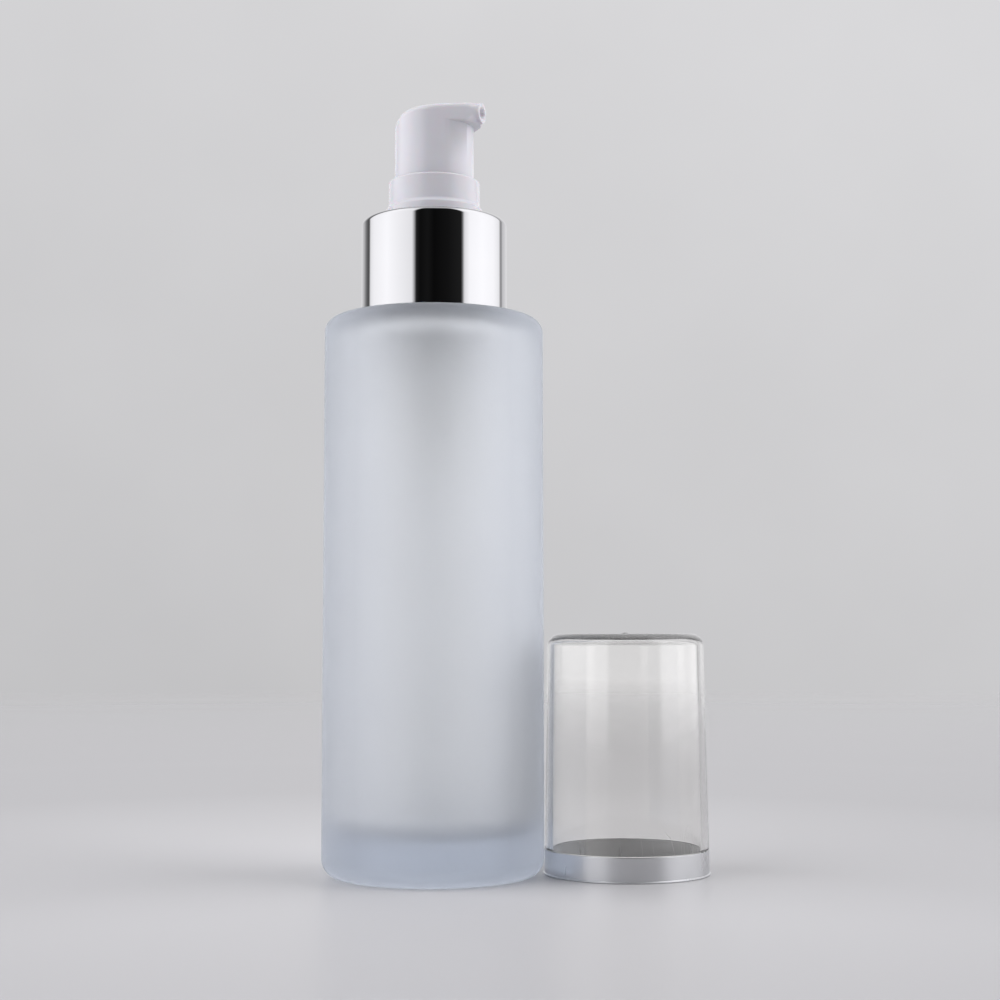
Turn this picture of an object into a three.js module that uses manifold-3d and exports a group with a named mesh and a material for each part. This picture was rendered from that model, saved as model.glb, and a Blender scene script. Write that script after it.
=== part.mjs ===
// Frosted glass foundation bottle with a screw-on treatment pump, and its clear overcap standing
// beside it. Millimetres, +Z up. The origin is the centre of the bottle's flat base, on its axis.
// The spout points towards +X, turned a little towards -Y.
//
// Outlines are lists of [radius, height] that run counter-clockwise: up the outside of a piece and
// down its inside. An outline either starts and ends on the axis, or is a closed ring.

import * as THREE from 'three';
import { mergeVertices } from 'three/addons/utils/BufferGeometryUtils.js';
import Module from 'manifold-3d';

const wasm = await Module();
wasm.setup();

// ---- Driving dimensions ---------------------------------------------------------------------

const ROUND = 36; // sides of the large round pieces
const FINE = 24; // sides of the small round pieces inside the pump
const GAP = 0.05; // between pieces that touch on the real object

const BOTTLE_RADIUS = 21;
const BOTTLE_SHOULDER = 105.8; // height of the flat shoulder
const SHOULDER_ROUND = 2.6;
const HEEL_ROUND = 3.4;
const GLASS_WALL = 2.2;
const GLASS_BASE = 8; // the thick, heavy base under the cavity
const CAVITY_ROUND = 4;

const COLLAR_RADIUS = 14;
const COLLAR_BOTTOM = BOTTLE_SHOULDER + 0.3;
const COLLAR_TOP = COLLAR_BOTTOM + 19;
const COLLAR_ROUND = 1.1;
const COLLAR_SHEET = 0.5;
const COLLAR_HOLE = 9;

// A 24-410 neck finish: 24 mm over the thread, one and a half turns.
const NECK_BORE = 8.2;
const NECK_RADIUS = 10.8;
const NECK_TOP = COLLAR_TOP - 4.7;
const THREAD_CREST = 11.85;
const THREAD_PITCH = 3.175;
const THREAD_TURNS = 1.5;
const THREAD_START = NECK_TOP - 9.1; // height of the middle of the bottle's ridge at its lower end

const CLOSURE_RADIUS = 13.4;
const CLOSURE_BORE = 12.1;
const CLOSURE_CREST = 11.2; // its thread stands in to this radius
const CLOSURE_HOLE = 8.6;

const FLANGE_RADIUS = 11.2;
const FLANGE_BOTTOM = NECK_TOP + 1;
const FLANGE_TOP = FLANGE_BOTTOM + 1.2;
const HOUSING_LIP = FLANGE_TOP + 1.5; // stands up through the closure's hole
const HOUSING_BORE = 4.2;
const HOUSING_RADIUS = 5.2;
const HOUSING_CUP = 7.3; // bore of the wide upper end
const CYLINDER_TOP = FLANGE_TOP - 8.4; // upper end of the narrow bore
const BALL_SEAT = CYLINDER_TOP - 29;
const SOCKET_TOP = BALL_SEAT - 1.4; // of the socket that holds the dip tube
const SOCKET_BOTTOM = SOCKET_TOP - 9;

const GUIDE_RADIUS = 8.8;
const GUIDE_BORE = 7.9;
const GUIDE_TOP = COLLAR_TOP + 7.8;
const GUIDE_FLOOR = COLLAR_TOP + 0.3;
const GUIDE_FOOT = CYLINDER_TOP - 0.9; // lower end of the tube that guides the stem

const PISTON_TOP = GUIDE_FOOT - 1;
const PISTON_BOTTOM = PISTON_TOP - 5.2;
const PISTON_RADIUS = 4.12;

const STEM_RADIUS = 2.5;
const STEM_BORE = 1.3;
const STEM_BOTTOM = PISTON_BOTTOM + 1.7;
const PLUNGER_SEAT = PISTON_BOTTOM - 2.8; // underside of the plunger's foot, where the spring bears

const SPRING_RADIUS = 3; // to the middle of the wire
const SPRING_WIRE = 0.3; // radius of the wire
const SPRING_TURNS = 6;

const BALL_RADIUS = 1.75;
const RETAINER_BOTTOM = BALL_SEAT + 4.2;
const RETAINER_PLATE = 1;
const TUBE_RADIUS = 2.1;
const TUBE_BORE = 1.4;
const TUBE_BOTTOM = 9.5;

const HEAD_RADIUS = 7.65;
const HEAD_BOTTOM = GUIDE_FLOOR + 6.3; // leaves 0.3 mm under the head's full 6 mm press
const HEAD_TOP = 147.5;
const HEAD_FALL = 4.9; // how far the back of the top falls away
const HEAD_WALL = 1;
const BOSS_RADIUS = 3.7;
const STEM_TOP = HEAD_TOP - 5.4;
const SPOUT_REACH = 10.3;
const SPOUT_RADIUS = 1.8;
const SPOUT_TURN = -24; // degrees about +Z from +X

const CAP_PLACE = new THREE.Vector3(36.78, 3.6, 0);
const CAP_HEIGHT = 45.4;
const CAP_FOOT_RADIUS = 15.65;
const CAP_TOP_RADIUS = 14.9;
const CAP_ROUND = 2.3;
const CAP_MOUTH = 14.25; // bore at the mouth
const CAP_BORE = 13.75; // bore under the top
const CAP_CEILING = CAP_HEIGHT - 1.4;
const BAND_HEIGHT = 4.7;
const BAND_SHEET = 0.4;
const BAND_FOOT = 0.6; // height of the foot that turns in under the cap's rim

// ---- Geometry helpers -----------------------------------------------------------------------

const radians = THREE.MathUtils.degToRad;

// Points on an arc in the outline's plane, angles in degrees from the outward direction.
function arc(radius, height, size, from, to, steps = 4) {
  const points = [];
  for (let i = 0; i <= steps; i += 1) {
    const angle = radians(from + ((to - from) * i) / steps);
    points.push([radius + size * Math.cos(angle), height + size * Math.sin(angle)]);
  }
  return points;
}

function closed(outline) {
  return [...outline, outline[0]];
}

// Keeps positions only, merges the shared corners and drops the triangles that this collapses.
function weld(geometry) {
  geometry.deleteAttribute('normal');
  geometry.deleteAttribute('uv');
  const welded = mergeVertices(geometry);
  const corners = welded.index.array;
  const kept = [];
  for (let i = 0; i < corners.length; i += 3) {
    const [a, b, c] = corners.subarray(i, i + 3);
    if (a !== b && b !== c && c !== a) {
      kept.push(a, b, c);
    }
  }
  welded.setIndex(kept);
  return welded;
}

function lathe(outline, sides = ROUND) {
  const points = outline.map(([radius, height]) => new THREE.Vector2(radius, height));
  const geometry = new THREE.LatheGeometry(points, sides);
  geometry.rotateX(Math.PI / 2);
  return weld(geometry);
}

// An extruded outline in X and Z that is centred on Y.
function slab(shape, width) {
  const geometry = new THREE.ExtrudeGeometry(shape, { depth: width, bevelEnabled: false });
  geometry.rotateX(Math.PI / 2);
  geometry.translate(0, width / 2, 0);
  return weld(geometry);
}

function rod(radius, length, sides = FINE) {
  return weld(new THREE.CylinderGeometry(radius, radius, length, sides));
}

function toSolid(geometry) {
  const mesh = new wasm.Mesh({
    numProp: 3,
    vertProperties: Float32Array.from(geometry.attributes.position.array),
    triVerts: Uint32Array.from(geometry.index.array),
  });
  return new wasm.Manifold(mesh);
}

function toGeometry(solid) {
  const mesh = solid.getMesh();
  const geometry = new THREE.BufferGeometry();
  geometry.setAttribute('position', new THREE.BufferAttribute(mesh.vertProperties, 3));
  geometry.setIndex(new THREE.BufferAttribute(mesh.triVerts, 1));
  return geometry;
}

// A right-handed helical ridge: a trapezium that climbs one pitch in each turn and fades at both
// ends. Root and crest are radii, so a crest inside the root gives an internal thread.
function threadRidge(root, crest, start, rootWidth, crestWidth) {
  const steps = THREAD_TURNS * FINE;
  const fade = 3;
  const faded = root + 0.3 * (crest - root);
  const positions = [];
  const faces = [];
  for (let i = 0; i <= steps; i += 1) {
    const angle = (2 * Math.PI * i) / FINE;
    const height = start + (THREAD_PITCH * i) / FINE;
    const grown = Math.min(1, i / fade, (steps - i) / fade);
    const tip = faded + (crest - faded) * grown;
    const section = [
      [root, -rootWidth / 2],
      [tip, -crestWidth / 2],
      [tip, crestWidth / 2],
      [root, rootWidth / 2],
    ];
    for (const [radius, offset] of section) {
      positions.push(radius * Math.cos(angle), radius * Math.sin(angle), height + offset);
    }
  }
  const quad = (a, b, c, d) => {
    if (crest > root) {
      faces.push(a, b, c, a, c, d);
    } else {
      faces.push(a, c, b, a, d, c);
    }
  };
  for (let i = 0; i < steps; i += 1) {
    for (let k = 0; k < 4; k += 1) {
      const next = (k + 1) % 4;
      quad(4 * i + k, 4 * i + 4 + k, 4 * i + 4 + next, 4 * i + next);
    }
  }
  const last = 4 * steps;
  quad(0, 1, 2, 3);
  quad(last + 3, last + 2, last + 1, last);
  const geometry = new THREE.BufferGeometry();
  geometry.setAttribute('position', new THREE.Float32BufferAttribute(positions, 3));
  geometry.setIndex(faces);
  return geometry;
}

// ---- The bottle -----------------------------------------------------------------------------

function glassBottle() {
  const inner = BOTTLE_RADIUS - GLASS_WALL;
  const ceiling = BOTTLE_SHOULDER - GLASS_WALL;
  const body = lathe([
    [0, 0],
    ...arc(BOTTLE_RADIUS - HEEL_ROUND, HEEL_ROUND, HEEL_ROUND, -90, 0),
    ...arc(BOTTLE_RADIUS - SHOULDER_ROUND, BOTTLE_SHOULDER - SHOULDER_ROUND, SHOULDER_ROUND, 0, 90),
    [NECK_RADIUS + 0.8, BOTTLE_SHOULDER],
    [NECK_RADIUS, BOTTLE_SHOULDER + 0.8],
    [NECK_RADIUS, NECK_TOP - 0.4],
    [NECK_RADIUS - 0.4, NECK_TOP],
    [NECK_BORE, NECK_TOP],
    [NECK_BORE, BOTTLE_SHOULDER + 1],
    ...arc(NECK_BORE + 3.2, BOTTLE_SHOULDER + 1, 3.2, 180, 270, 3),
    ...arc(inner - CAVITY_ROUND, ceiling - CAVITY_ROUND, CAVITY_ROUND, 90, 0, 3),
    ...arc(inner - CAVITY_ROUND, GLASS_BASE + CAVITY_ROUND, CAVITY_ROUND, 0, -90),
    [0, GLASS_BASE - 0.4],
  ]);
  const ridge = threadRidge(NECK_RADIUS - 0.3, THREAD_CREST, THREAD_START, 1.7, 0.8);
  return toGeometry(toSolid(body).add(toSolid(ridge)));
}

// ---- The collar: a chrome-plated shell over a threaded closure -------------------------------

function collarShell() {
  const inside = COLLAR_RADIUS - COLLAR_SHEET;
  const centre = COLLAR_RADIUS - COLLAR_ROUND;
  const bend = COLLAR_TOP - COLLAR_ROUND;
  return lathe(closed([
    [inside, COLLAR_BOTTOM],
    [COLLAR_RADIUS, COLLAR_BOTTOM],
    ...arc(centre, bend, COLLAR_ROUND, 0, 90, 3),
    [COLLAR_HOLE, COLLAR_TOP],
    [COLLAR_HOLE, COLLAR_TOP - COLLAR_SHEET],
    ...arc(centre, bend, COLLAR_ROUND - COLLAR_SHEET, 90, 0, 3),
  ]));
}

function innerClosure() {
  const bottom = COLLAR_BOTTOM + 0.6;
  const top = COLLAR_TOP - COLLAR_SHEET - 0.1;
  const body = lathe(closed([
    [CLOSURE_BORE, bottom],
    [CLOSURE_RADIUS, bottom],
    [CLOSURE_RADIUS, top - 0.9],
    [CLOSURE_RADIUS - 0.9, top],
    [CLOSURE_HOLE, top],
    [CLOSURE_HOLE, FLANGE_TOP + GAP],
    [CLOSURE_BORE, FLANGE_TOP + GAP],
  ]));
  const start = THREAD_START - THREAD_PITCH / 2;
  const ridge = threadRidge(CLOSURE_BORE + 0.4, CLOSURE_CREST, start, 1.6, 0.7);
  return toGeometry(toSolid(body).add(toSolid(ridge)));
}

function neckGasket() {
  const bottom = NECK_TOP;
  const top = FLANGE_BOTTOM - GAP;
  return lathe(closed([
    [NECK_BORE + 0.1, bottom],
    [FLANGE_RADIUS, bottom],
    [FLANGE_RADIUS, top],
    [NECK_BORE + 0.1, top],
  ]));
}

// ---- The pump engine ------------------------------------------------------------------------

function pumpHousing() {
  const cupOutside = HOUSING_CUP + 0.7;
  const lipOutside = HOUSING_CUP + 1;
  const ballRoom = BALL_RADIUS + 0.55;
  const inlet = BALL_RADIUS - 0.55;
  const socket = TUBE_RADIUS + 0.1;
  return lathe(closed([
    [socket, SOCKET_BOTTOM],
    [socket + 0.9, SOCKET_BOTTOM],
    [socket + 0.9, SOCKET_TOP],
    [HOUSING_RADIUS, BALL_SEAT + 3.6],
    [HOUSING_RADIUS, CYLINDER_TOP - 0.9],
    [cupOutside, CYLINDER_TOP + 1.2],
    [cupOutside, FLANGE_BOTTOM],
    [FLANGE_RADIUS, FLANGE_BOTTOM],
    [FLANGE_RADIUS, FLANGE_TOP],
    [lipOutside, FLANGE_TOP],
    [lipOutside, HOUSING_LIP],
    [HOUSING_CUP, HOUSING_LIP],
    [HOUSING_CUP, CYLINDER_TOP + 2],
    [HOUSING_BORE, CYLINDER_TOP],
    [HOUSING_BORE, RETAINER_BOTTOM - 0.1],
    [ballRoom, RETAINER_BOTTOM - 0.1],
    [ballRoom, BALL_SEAT + 1.1],
    [inlet, BALL_SEAT],
    [inlet, SOCKET_TOP],
    [socket, SOCKET_TOP],
  ]), FINE);
}

// Snaps into the housing from above, guides the stem and stands as the white ring over the collar.
function guideRing() {
  const flange = GUIDE_RADIUS + 0.55;
  const seat = COLLAR_TOP + GAP;
  const guide = STEM_RADIUS + 0.15;
  const guideOutside = HOUSING_BORE - 0.3;
  const skirt = HOUSING_CUP - 0.1;
  const plate = HOUSING_LIP + 0.1;
  return lathe(closed([
    [guide, GUIDE_FOOT],
    [guideOutside, GUIDE_FOOT],
    [guideOutside, plate],
    [skirt - 1, plate],
    [skirt - 1, CYLINDER_TOP + 3.1],
    [skirt, CYLINDER_TOP + 3.1],
    [skirt, plate],
    [CLOSURE_HOLE - 0.3, plate],
    [CLOSURE_HOLE - 0.3, seat],
    [flange, seat],
    [flange, seat + 2.1],
    ...arc(GUIDE_RADIUS + 0.9, seat + 3, 0.9, 250, 180, 2),
    [GUIDE_RADIUS, GUIDE_TOP - 0.4],
    [GUIDE_RADIUS - 0.3, GUIDE_TOP],
    [GUIDE_BORE, GUIDE_TOP],
    [GUIDE_BORE, GUIDE_FLOOR],
    [guide, GUIDE_FLOOR],
  ]));
}

function stem() {
  return lathe(closed([
    [STEM_BORE, STEM_BOTTOM],
    [STEM_RADIUS, STEM_BOTTOM],
    [STEM_RADIUS, STEM_TOP - 0.4],
    [STEM_RADIUS - 0.4, STEM_TOP],
    [STEM_BORE, STEM_TOP],
  ]), FINE);
}

// The foot that the piston seals on; its pin is a press fit in the stem.
function plunger() {
  const seat = PLUNGER_SEAT;
  const spigot = SPRING_RADIUS - SPRING_WIRE - 0.3;
  const pin = STEM_BORE - 0.1;
  const pinTop = STEM_BOTTOM + 5.6;
  return lathe([
    [0, seat - 1.5],
    [spigot - 0.8, seat - 1.5],
    [spigot, seat - 0.7],
    [spigot, seat],
    [3.5, seat],
    [3.5, seat + 0.9],
    [1.7, PISTON_BOTTOM - 0.2],
    [pin, PISTON_BOTTOM - 0.2],
    [pin, pinTop - 0.4],
    [pin - 0.4, pinTop],
    [0, pinTop],
  ], FINE);
}

function piston() {
  const waist = PISTON_RADIUS - 0.5;
  const bore = STEM_RADIUS + 0.12;
  const throat = 1.9;
  return lathe(closed([
    [throat, PISTON_BOTTOM],
    [waist, PISTON_BOTTOM + 0.4],
    [PISTON_RADIUS, PISTON_BOTTOM],
    [PISTON_RADIUS, PISTON_BOTTOM + 0.8],
    [waist, PISTON_BOTTOM + 1.6],
    [waist, PISTON_TOP - 1.6],
    [PISTON_RADIUS, PISTON_TOP - 0.8],
    [PISTON_RADIUS, PISTON_TOP],
    [waist, PISTON_TOP - 0.4],
    [bore, PISTON_TOP - 0.4],
    [bore, PISTON_BOTTOM + 0.7],
    [throat, PISTON_BOTTOM + 0.7],
  ]), FINE);
}

// Holds the ball down over its seat and carries the foot of the spring.
function ballRetainer() {
  const plate = RETAINER_BOTTOM + RETAINER_PLATE;
  const hole = 1.1;
  const spigot = SPRING_RADIUS - SPRING_WIRE - 0.4;
  return lathe(closed([
    [hole, RETAINER_BOTTOM],
    [HOUSING_BORE - 0.1, RETAINER_BOTTOM],
    [HOUSING_BORE - 0.1, plate],
    [spigot, plate],
    [spigot, plate + 1.4],
    [spigot - 0.7, plate + 1.8],
    [hole, plate + 1.8],
  ]), FINE);
}

class Helix extends THREE.Curve {
  constructor(radius, bottom, height, turns) {
    super();
    Object.assign(this, { radius, bottom, height, turns });
  }

  // The first and the last turn lie nearly flat, as the closed ends of a compression spring do.
  getPoint(t, target = new THREE.Vector3()) {
    const angle = 2 * Math.PI * this.turns * t;
    const climb = THREE.MathUtils.smootherstep(t, 0, 1) * 0.35 + t * 0.65;
    return target.set(
      this.radius * Math.cos(angle),
      this.radius * Math.sin(angle),
      this.bottom + this.height * climb,
    );
  }
}

function returnSpring() {
  const bottom = RETAINER_BOTTOM + RETAINER_PLATE + GAP + SPRING_WIRE;
  const top = PLUNGER_SEAT - GAP - SPRING_WIRE;
  const path = new Helix(SPRING_RADIUS, bottom, top - bottom, SPRING_TURNS);
  const section = new THREE.Shape();
  section.absarc(0, 0, SPRING_WIRE, 0, 2 * Math.PI);
  const options = { extrudePath: path, steps: 14 * SPRING_TURNS, curveSegments: 3, bevelEnabled: false };
  return weld(new THREE.ExtrudeGeometry(section, options));
}

function checkBall() {
  const ball = new THREE.SphereGeometry(BALL_RADIUS, 12, 8);
  ball.rotateX(Math.PI / 2);
  ball.translate(0, 0, BALL_SEAT + 1.4);
  return weld(ball);
}

// The lower end is cut on a slant, so that it can't seal itself against the glass.
function dipTube() {
  const tube = lathe(closed([
    [TUBE_BORE, TUBE_BOTTOM],
    [TUBE_RADIUS, TUBE_BOTTOM],
    [TUBE_RADIUS, SOCKET_TOP - 0.2],
    [TUBE_BORE, SOCKET_TOP - 0.2],
  ]), 16);
  const knife = new THREE.BoxGeometry(12, 6, 6);
  knife.translate(0, 0, -3);
  knife.rotateY(radians(35));
  knife.translate(0, 0, TUBE_BOTTOM + 1.6);
  return toGeometry(toSolid(tube).subtract(toSolid(weld(knife))));
}

// ---- The push-down head with its spout --------------------------------------------------------

function head() {
  const spoutHeight = HEAD_TOP - SPOUT_RADIUS;
  const skirt = lathe([
    [0, HEAD_BOTTOM],
    [HEAD_RADIUS, HEAD_BOTTOM],
    [HEAD_RADIUS, spoutHeight - 1],
    [0, spoutHeight - 1],
  ]);

  // The top is a beak: seen from above, it narrows along two tangents to the spout's tip.
  const crown = HEAD_RADIUS - GAP;
  const tangent = Math.acos((crown - SPOUT_RADIUS) / SPOUT_REACH);
  const plan = new THREE.Shape();
  plan.moveTo(SPOUT_REACH, -SPOUT_RADIUS);
  plan.lineTo(SPOUT_REACH, SPOUT_RADIUS);
  plan.absarc(0, 0, crown, tangent, 2 * Math.PI - tangent);
  const rounding = 1;
  const beak = new THREE.ExtrudeGeometry(plan, {
    depth: 2 * (SPOUT_RADIUS - rounding),
    curveSegments: 12,
    bevelThickness: rounding,
    bevelSize: rounding,
    bevelOffset: -rounding,
    bevelSegments: 2,
  });
  beak.translate(0, 0, spoutHeight - SPOUT_RADIUS + rounding);

  // Seen from the side, the back of the top falls away in a quarter ellipse, which starts just
  // above the flat top so that it cuts the top at an angle.
  const brow = HEAD_TOP + 2 * GAP;
  const side = new THREE.Shape();
  side.moveTo(-HEAD_RADIUS - 0.5, HEAD_BOTTOM - 1);
  side.lineTo(SPOUT_REACH + 1, HEAD_BOTTOM - 1);
  side.lineTo(SPOUT_REACH + 1, brow + 1);
  side.lineTo(1.4, brow + 1);
  side.absellipse(1.4, brow - HEAD_FALL, HEAD_RADIUS + 1.9, HEAD_FALL, Math.PI / 2, Math.PI);

  // The space between the skirt and the boss that grips the stem, open below.
  const bossBottom = HEAD_BOTTOM + 1.8;
  const hollow = lathe([
    [0, HEAD_BOTTOM - 1],
    [HEAD_RADIUS - HEAD_WALL, HEAD_BOTTOM - 1],
    [HEAD_RADIUS - HEAD_WALL, STEM_TOP - 1.2],
    [BOSS_RADIUS, STEM_TOP - 0.2],
    [BOSS_RADIUS, bossBottom],
    [0, bossBottom],
  ]);
  const grip = STEM_RADIUS + 0.1;
  const rise = 1.2;
  const socket = lathe([
    [0, HEAD_BOTTOM],
    [grip, HEAD_BOTTOM],
    [grip, STEM_TOP + 0.4],
    [rise, STEM_TOP + 0.4],
    [rise, spoutHeight],
    [0, spoutHeight],
  ], FINE);
  const channel = rod(1, SPOUT_REACH + 1, 12);
  channel.rotateZ(-Math.PI / 2);
  channel.translate((SPOUT_REACH + 1) / 2, 0, spoutHeight);

  let solid = toSolid(skirt).add(toSolid(weld(beak)));
  solid = solid.intersect(toSolid(slab(side, 20)));
  for (const cut of [hollow, socket, channel]) {
    solid = solid.subtract(toSolid(cut));
  }
  return toGeometry(solid);
}

// ---- The overcap ----------------------------------------------------------------------------

function overcapShell() {
  const rebate = CAP_FOOT_RADIUS - BAND_SHEET;
  return lathe([
    [0, CAP_CEILING],
    ...arc(CAP_BORE - 1.4, CAP_CEILING - 1.4, 1.4, 90, 0, 3),
    [CAP_MOUTH, BAND_FOOT],
    [rebate, BAND_FOOT],
    [rebate, BAND_HEIGHT + GAP],
    [CAP_FOOT_RADIUS, BAND_HEIGHT + GAP],
    ...arc(CAP_TOP_RADIUS - CAP_ROUND, CAP_HEIGHT - CAP_ROUND, CAP_ROUND, 0, 90),
    [0, CAP_HEIGHT],
  ]);
}

function overcapBand() {
  const inside = CAP_FOOT_RADIUS - BAND_SHEET + GAP;
  const outside = CAP_FOOT_RADIUS + GAP;
  return lathe(closed([
    [CAP_MOUTH + 0.1, 0],
    [outside + 0.2, 0],
    [outside + 0.2, BAND_FOOT - 0.2],
    [outside, BAND_FOOT],
    [outside, BAND_HEIGHT],
    [inside, BAND_HEIGHT],
    [inside, BAND_FOOT - GAP],
    [CAP_MOUTH + 0.1, BAND_FOOT - GAP],
  ]));
}

// ---- The assembly ---------------------------------------------------------------------------

const FINISHES = {
  frostedGlass: { color: 0xc3ccd6, roughness: 0.55, metalness: 0, transparent: true, opacity: 0.6 },
  chrome: { color: 0xe8e8ea, roughness: 0.06, metalness: 1 },
  whitePlastic: { color: 0xe9e8ec, roughness: 0.25, metalness: 0 },
  naturalPlastic: { color: 0xe3e3de, roughness: 0.5, metalness: 0 },
  tubePlastic: { color: 0xe6e9ea, roughness: 0.4, metalness: 0 },
  gasketFoam: { color: 0xe9e7e0, roughness: 0.8, metalness: 0 },
  springSteel: { color: 0x9c9ea2, roughness: 0.3, metalness: 1 },
  clearPlastic: { color: 0xcfcfcd, roughness: 0.05, metalness: 0, transparent: true, opacity: 0.3 },
  silverBand: { color: 0xc2c5ca, roughness: 0.15, metalness: 1 },
};

function piece(name, geometry, finish) {
  const mesh = new THREE.Mesh(geometry, new THREE.MeshStandardMaterial(FINISHES[finish]));
  mesh.name = name;
  return mesh;
}

const pump = new THREE.Group();
pump.add(
  piece('collar_shell', collarShell(), 'chrome'),
  piece('inner_closure', innerClosure(), 'whitePlastic'),
  piece('neck_gasket', neckGasket(), 'gasketFoam'),
  piece('pump_housing', pumpHousing(), 'naturalPlastic'),
  piece('guide_ring', guideRing(), 'whitePlastic'),
  piece('stem', stem(), 'whitePlastic'),
  piece('plunger', plunger(), 'naturalPlastic'),
  piece('piston', piston(), 'naturalPlastic'),
  piece('return_spring', returnSpring(), 'springSteel'),
  piece('ball_retainer', ballRetainer(), 'naturalPlastic'),
  piece('check_ball', checkBall(), 'springSteel'),
  piece('dip_tube', dipTube(), 'tubePlastic'),
);

const actuator = piece('actuator', head(), 'whitePlastic');
actuator.rotation.z = radians(SPOUT_TURN);
pump.add(actuator);

const overcap = new THREE.Group();
overcap.position.copy(CAP_PLACE);
overcap.add(
  piece('overcap_shell', overcapShell(), 'clearPlastic'),
  piece('overcap_band', overcapBand(), 'silverBand'),
);

const assembly = new THREE.Group();
assembly.add(piece('glass_bottle', glassBottle(), 'frostedGlass'), pump, overcap);

export default assembly;
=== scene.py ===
"""Fine surfaces, materials, light and camera for the foundation bottle with its pump and overcap."""

import math

import bmesh
import bpy
import numpy as np
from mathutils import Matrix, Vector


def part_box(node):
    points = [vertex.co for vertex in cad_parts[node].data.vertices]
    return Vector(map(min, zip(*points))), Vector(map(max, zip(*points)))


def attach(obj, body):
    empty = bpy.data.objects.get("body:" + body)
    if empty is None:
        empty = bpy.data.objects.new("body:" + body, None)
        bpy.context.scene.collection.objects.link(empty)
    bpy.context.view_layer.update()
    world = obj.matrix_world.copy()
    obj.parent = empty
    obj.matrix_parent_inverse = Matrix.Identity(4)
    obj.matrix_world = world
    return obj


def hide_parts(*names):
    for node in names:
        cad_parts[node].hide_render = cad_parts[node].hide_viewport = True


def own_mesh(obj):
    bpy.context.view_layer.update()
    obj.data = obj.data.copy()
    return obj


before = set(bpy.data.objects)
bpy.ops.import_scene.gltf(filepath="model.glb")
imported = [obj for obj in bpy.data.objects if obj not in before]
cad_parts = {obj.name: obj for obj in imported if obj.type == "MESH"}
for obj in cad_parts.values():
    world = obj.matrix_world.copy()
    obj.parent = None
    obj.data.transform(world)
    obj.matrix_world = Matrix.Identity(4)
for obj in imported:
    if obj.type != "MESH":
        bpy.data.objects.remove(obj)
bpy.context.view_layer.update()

MM = 0.001


# ---- Sizes, in millimetres, read from the frame ----------------------------------------------

def node_box(node):
    """A CAD node's lowest and highest corners in millimetres."""
    low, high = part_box(node)
    return low / MM, high / MM


glass_high = node_box("glass_bottle")[1]
collar_low, collar_high = node_box("collar_shell")
closure_low, closure_high = node_box("inner_closure")
gasket_low, gasket_high = node_box("neck_gasket")
housing_low, housing_high = node_box("pump_housing")
guide_low, guide_high = node_box("guide_ring")
stem_low, stem_high = node_box("stem")
plunger_low, plunger_high = node_box("plunger")
piston_low, piston_high = node_box("piston")
retainer_low, retainer_high = node_box("ball_retainer")
spring_low, spring_high = node_box("return_spring")
ball_low, ball_high = node_box("check_ball")
tube_low, tube_high = node_box("dip_tube")
head_low, head_high = node_box("actuator")
shell_low, shell_high = node_box("overcap_shell")
band_low, band_high = node_box("overcap_band")

BOTTLE_RADIUS = glass_high.x
SHOULDER = collar_low.z - 0.3
GLASS_WALL = 2.2
GLASS_BASE = 8.0
HEEL_ROUND = 3.4
SHOULDER_ROUND = 2.6
CAVITY_ROUND = 4.0

NECK_TOP = glass_high.z
NECK_RADIUS = 10.8
NECK_BORE = 8.2
THREAD_PITCH = 3.175
THREAD_TURNS = 1.5
THREAD_HEIGHT = 1.05
THREAD_START = NECK_TOP - 9.1

COLLAR_RADIUS = collar_high.x
COLLAR_SHEET = 0.5
CLOSURE_RADIUS = closure_high.x
CLOSURE_BORE = 12.1
CLOSURE_HOLE = 8.6

FLANGE_TOP = housing_high.z - 1.5
FLANGE_BOTTOM = FLANGE_TOP - 1.2
HOUSING_BORE = 4.2
HOUSING_RADIUS = 5.2
HOUSING_CUP = 7.3
CYLINDER_TOP = FLANGE_TOP - 8.4
BALL_RADIUS = (ball_high.z - ball_low.z) / 2
BALL_SEAT = ball_low.z + BALL_RADIUS - 1.4
SOCKET_TOP = tube_high.z + 0.2

STEM_RADIUS = 2.5
STEM_BORE = 1.3
SPRING_WIRE = 0.3
SPRING_RADIUS = 3.0
SPRING_TURNS = 6
TUBE_RADIUS = 2.1
TUBE_BORE = 1.4

HEAD_RADIUS = 7.65
HEAD_TURN = math.radians(-24)
SPOUT_REACH = 10.3

CAP_PLACE = ((band_low.x + band_high.x) / 2, (band_low.y + band_high.y) / 2)
CAP_FOOT = (shell_high.x - shell_low.x) / 2
CAP_MOUTH = 14.25
CAP_BORE = 13.75
CAP_TAPER = 0.73
CAP_PLATE = 1.4
CAP_ROUND = 2.3


# ---- Mesh tools -----------------------------------------------------------------------------

STRAIGHT = 1e-4
ON_AXIS = 1e-6


def heading(start, end):
    """Unit direction in the outline's plane and length from one corner to another."""
    length = math.hypot(end[0] - start[0], end[1] - start[1])
    return (end[0] - start[0]) / length, (end[1] - start[1]) / length, length


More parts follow.
